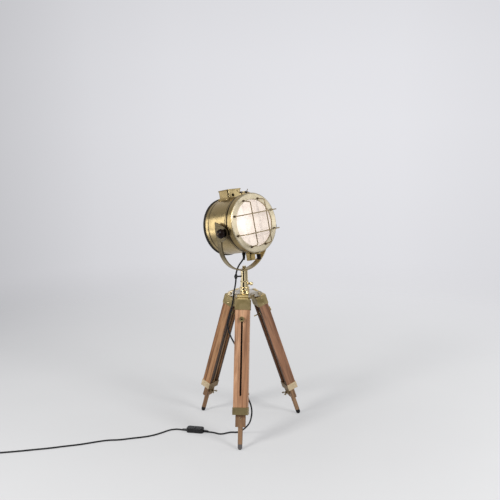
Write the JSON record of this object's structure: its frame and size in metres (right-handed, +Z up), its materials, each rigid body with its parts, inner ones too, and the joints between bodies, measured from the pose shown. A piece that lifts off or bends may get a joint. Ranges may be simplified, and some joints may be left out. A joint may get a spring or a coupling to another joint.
{
  "type": "tripod spotlight floor lamp",
  "caption": "Tripod floor lamp: brass spotlight drum with hinged guarded glass door in a tilting yoke, on folding extending wooden legs.",
  "frame": {"origin": "centre of the lamp's footprint box on the floor, without its free cord", "axes": "+Z up, front leg along -Y, right-hand leg toward +X"},
  "size_m": [1.1757, 0.647, 0.9153],
  "materials": {
    "leg_wood": "satin varnish, brown grain",
    "inner_wood": "worn, greyer grain",
    "aged_brass": "aged olive, mottled",
    "satin_brass": "satin antique brass",
    "polished_brass": "polished",
    "bolt_steel": "brushed",
    "black_paint": "black satin",
    "dark_bronze": "dark bronze",
    "frosted_glass": "frosted",
    "bulb_glass": "opal",
    "holder_ceramic": "glazed",
    "rubber": "matte",
    "black_knob": "semi-gloss",
    "black_cord": "matte",
    "black_gloss": "gloss",
    "bright_pin": "bright"
  },
  "bodies": {
    "root": {"hub_plate": "satin_brass", "column_socket": "polished_brass", "hinge_bolts": "bolt_steel", "cord_column": "black_cord", "cord_drop": "black_cord", "switch_body": "black_gloss", "cord_floor": "black_cord", "cord_coil": "black_cord", "plug_body": "black_gloss", "plug_pins": "bright_pin"},
    "leg_front": {"leg_cap_front": "aged_brass", "outer_leg_front": "leg_wood", "leg_collar_front": "aged_brass", "cord_leg": "black_cord", "cable_tie": "black_cord"},
    "foot_front": {"inner_leg_front": "inner_wood", "rubber_foot_front": "rubber"},
    "knob_front": {"leg_knob_front": "aged_brass"},
    "wing_front": {"wing_screw_front": "aged_brass"},
    "leg_right": {"leg_cap_right": "aged_brass", "outer_leg_right": "leg_wood", "leg_collar_right": "aged_brass"},
    "foot_right": {"inner_leg_right": "inner_wood", "rubber_foot_right": "rubber"},
    "knob_right": {"leg_knob_right": "aged_brass"},
    "wing_right": {"wing_screw_right": "aged_brass"},
    "leg_left": {"leg_cap_left": "aged_brass", "outer_leg_left": "leg_wood", "leg_collar_left": "aged_brass"},
    "foot_left": {"inner_leg_left": "inner_wood", "rubber_foot_left": "rubber"},
    "knob_left": {"leg_knob_left": "aged_brass"},
    "wing_left": {"wing_screw_left": "aged_brass"},
    "column_screw": {"column_screw": "polished_brass"},
    "column": {"column_pole": "polished_brass", "yoke": "satin_brass", "yoke_nut": "polished_brass", "pole_clip": "black_cord", "cord_head": "black_cord"},
    "head": {"drum": "satin_brass", "back_cover": "satin_brass", "back_rim": "black_paint", "hinge_bracket": "satin_brass", "hinge_pin": "bolt_steel", "latch_block": "satin_brass", "vent_box": "satin_brass", "vent_lid": "satin_brass", "lampholder": "holder_ceramic", "bulb": "bulb_glass", "pivot_studs": "satin_brass", "cord_gland": "black_cord"},
    "door": {"door_ring": "satin_brass", "door_glass": "frosted_glass", "glass_seal": "rubber", "guard_cage": "satin_brass", "guard_nuts": "dark_bronze"},
    "latch_screw": {"latch_screw": "black_knob"},
    "tilt_knob_left": {"tilt_knob_left": "black_knob"},
    "tilt_knob_right": {"tilt_knob_right": "black_knob"},
    "rocker": {"switch_rocker": "black_gloss"}
  },
  "joints": [
    {"name": "fold_front", "type": "hinge", "parent": "root", "child": "leg_front", "pos_m": [0, -0.00833, 0.521], "axis": [1, 0, 0], "range_deg": [0, 17], "deforming": ["cord_leg", "cord_drop"]},
    {"name": "slide_front", "type": "slide", "parent": "leg_front", "child": "foot_front", "axis": [0, -0.3239, -0.9461], "range_m": [0, 0.26]},
    {"name": "turn_knob_front", "type": "hinge", "parent": "foot_front", "child": "knob_front", "pos_m": [0, -0.05343, 0.44792], "axis": [0, -0.9461, 0.3239], "range_deg": [0, 270]},
    {"name": "turn_wing_front", "type": "hinge", "parent": "leg_front", "child": "wing_front", "pos_m": [0, -0.13099, 0.09792], "axis": [0, 0.9461, -0.3239], "range_deg": [0, 270]},
    {"name": "fold_right", "type": "hinge", "parent": "root", "child": "leg_right", "pos_m": [0.0433, 0.06667, 0.521], "axis": [-0.5, 0.866, 0], "range_deg": [0, 17]},
    {"name": "slide_right", "type": "slide", "parent": "leg_right", "child": "foot_right", "axis": [0.2805, 0.162, -0.9461], "range_m": [0, 0.26]},
    {"name": "turn_knob_right", "type": "hinge", "parent": "foot_right", "child": "knob_right", "pos_m": [0.08236, 0.08922, 0.44792], "axis": [0.8193, 0.473, 0.3239], "range_deg": [0, 270]},
    {"name": "turn_wing_right", "type": "hinge", "parent": "leg_right", "child": "wing_right", "pos_m": [0.14952, 0.128, 0.09792], "axis": [-0.8193, -0.473, -0.3239], "range_deg": [0, 270]},
    {"name": "fold_left", "type": "hinge", "parent": "root", "child": "leg_left", "pos_m": [-0.0433, 0.06667, 0.521], "axis": [-0.5, -0.866, 0], "range_deg": [0, 17]},
    {"name": "slide_left", "type": "slide", "parent": "leg_left", "child": "foot_left", "axis": [-0.2805, 0.162, -0.9461], "range_m": [0, 0.26]},
    {"name": "turn_knob_left", "type": "hinge", "parent": "foot_left", "child": "knob_left", "pos_m": [-0.08236, 0.08922, 0.44792], "axis": [-0.8193, 0.473, 0.3239], "range_deg": [0, 270]},
    {"name": "turn_wing_left", "type": "hinge", "parent": "leg_left", "child": "wing_left", "pos_m": [-0.14952, 0.128, 0.09792], "axis": [0.8193, -0.473, -0.3239], "range_deg": [0, 270]},
    {"name": "turn_column_screw", "type": "hinge", "parent": "root", "child": "column_screw", "pos_m": [0.02, 0.04167, 0.56], "axis": [1, 0, 0], "range_deg": [0, 270]},
    {"name": "pan", "type": "hinge", "parent": "root", "child": "column", "pos_m": [0, 0.04167, 0.56], "axis": [0, 0, 1], "range_deg": [-120, 120], "deforming": ["cord_column"]},
    {"name": "tilt", "type": "hinge", "parent": "column", "child": "head", "pos_m": [0.01673, 0.02738, 0.767], "axis": [-0.6494, -0.7604, 0], "range_deg": [-60, 22], "deforming": ["cord_head"]},
    {"name": "open_door", "type": "hinge", "parent": "head", "child": "door", "pos_m": [0.00179, 0.04014, 0.90478], "axis": [-0.6494, -0.7604, 0], "range_deg": [0, 100]},
    {"name": "turn_latch_screw", "type": "hinge", "parent": "head", "child": "latch_screw", "pos_m": [0.0608, -0.01026, 0.67843], "axis": [0.1451, -0.1239, -0.9816], "range_deg": [0, 270]},
    {"name": "turn_tilt_knob_left", "type": "hinge", "parent": "head", "child": "tilt_knob_left", "pos_m": [-0.06445, -0.06767, 0.767], "axis": [-0.6494, -0.7604, 0], "range_deg": [0, 270]},
    {"name": "turn_tilt_knob_right", "type": "hinge", "parent": "head", "child": "tilt_knob_right", "pos_m": [0.09791, 0.12243, 0.767], "axis": [0.6494, 0.7604, 0], "range_deg": [0, 270]},
    {"name": "rocker", "type": "hinge", "parent": "root", "child": "rocker", "pos_m": [-0.18855, -0.04818, 0.011], "axis": [0.1021, 0.9948, 0], "range_deg": [0, 14]}
  ]
}
